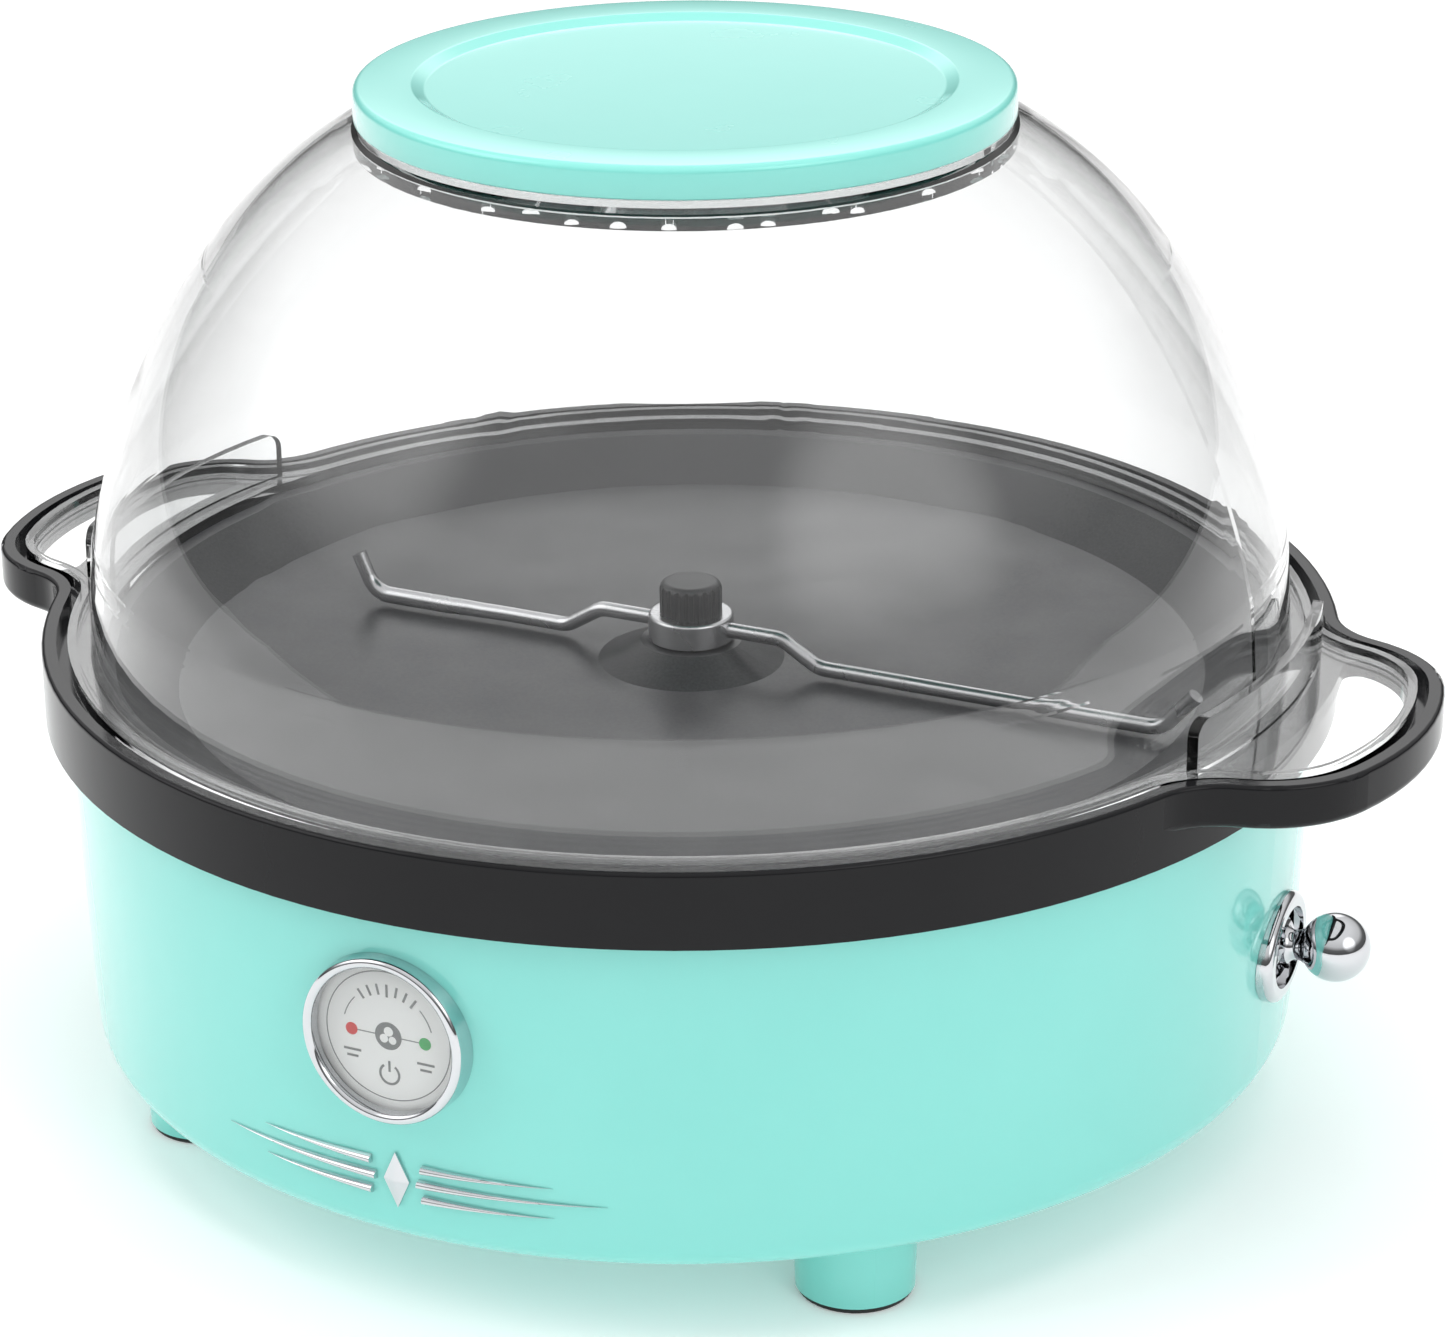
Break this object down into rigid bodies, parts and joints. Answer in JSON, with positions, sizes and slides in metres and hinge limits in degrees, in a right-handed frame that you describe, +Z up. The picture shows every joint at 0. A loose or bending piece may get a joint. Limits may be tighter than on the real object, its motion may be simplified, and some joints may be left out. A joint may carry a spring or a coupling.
{
  "type": "popcorn maker",
  "caption": "Round stirring popcorn maker: clear dome bowl with cap on a handled black ring, heated plate with turning rod, dial and lever switch.",
  "frame": {"origin": "centre of the footprint on the surface it stands on, on the vertical axis of the round body", "axes": "+Z up, -Y to the front with the dial, +X and -X through the two handles"},
  "size_m": [0.3916, 0.33, 0.2651],
  "materials": {
    "aqua_shell": "gloss",
    "aqua_cap": "gloss",
    "black_ring": "gloss",
    "rubber": "matte",
    "clear": "clear",
    "chrome": "polished",
    "steel": "brushed",
    "nonstick": "non-stick coated",
    "element_metal": "satin",
    "shield_metal": "satin",
    "brass": "satin",
    "gear_plastic": "satin",
    "dark_plastic": "satin",
    "white_plastic": "satin",
    "dial_print": "satin",
    "bakelite": "satin"
  },
  "bodies": {
    "base": {"base_housing": "aqua_shell", "bottom_cover": "aqua_shell", "feet": "aqua_shell", "foot_pads": "rubber", "foot_screws": "steel", "cover_screws": "steel", "handle_ring": "black_ring", "ring_screws": "steel", "heating_plate": "nonstick", "heating_element": "element_metal", "element_clips": "steel", "heat_shield": "shield_metal", "plate_standoffs": "steel", "shield_screws": "steel", "thermostat": "bakelite", "thermal_fuse": "white_plastic", "plate_bush": "brass", "lower_bush": "brass", "gear_motor": "steel", "motor_bracket": "steel", "motor_screws": "steel", "bracket_screws": "steel", "dial_bezel": "chrome", "dial_lens": "clear", "dial_face": "dial_print", "dial_cup": "white_plastic", "switch_bezel": "chrome", "switch_body": "dark_plastic", "lever_pin": "steel", "ornament": "chrome", "cord_gland": "rubber", "gland_nut": "dark_plastic", "terminal_block": "white_plastic"},
    "dome": {"dome_bowl": "clear"},
    "cap": {"top_cap": "aqua_cap"},
    "stirrer": {"drive_shaft": "steel", "drive_gear": "gear_plastic", "stir_hub": "steel", "stirring_rod": "steel", "stir_nut": "dark_plastic"},
    "motor_output": {"motor_pinion": "brass"},
    "switch": {"switch_lever": "chrome", "lever_knob": "chrome"}
  },
  "joints": [
    {"name": "dome_lift", "type": "slide", "parent": "base", "child": "dome", "axis": [0, 0, 1], "range_m": [0, 0.18]},
    {"name": "cap_lift", "type": "slide", "parent": "dome", "child": "cap", "axis": [0, 0, 1], "range_m": [0, 0.05]},
    {"name": "stirrer_spin", "type": "hinge", "parent": "base", "child": "stirrer", "pos_m": [0, 0, 0.1], "axis": [0, 0, 1], "continuous": true},
    {"name": "pinion_spin", "type": "hinge", "parent": "base", "child": "motor_output", "pos_m": [0.045, 0, 0.069], "axis": [0, 0, 1], "continuous": true},
    {"name": "switch_lever", "type": "hinge", "parent": "base", "child": "switch", "pos_m": [0.15245, 0.01066, 0.0572], "axis": [-0.0698, 0.9976, 0], "range_deg": [0, 12]}
  ],
  "couplings": [
    {"joint": "pinion_spin", "follows": "stirrer_spin", "ratio": -4}
  ]
}
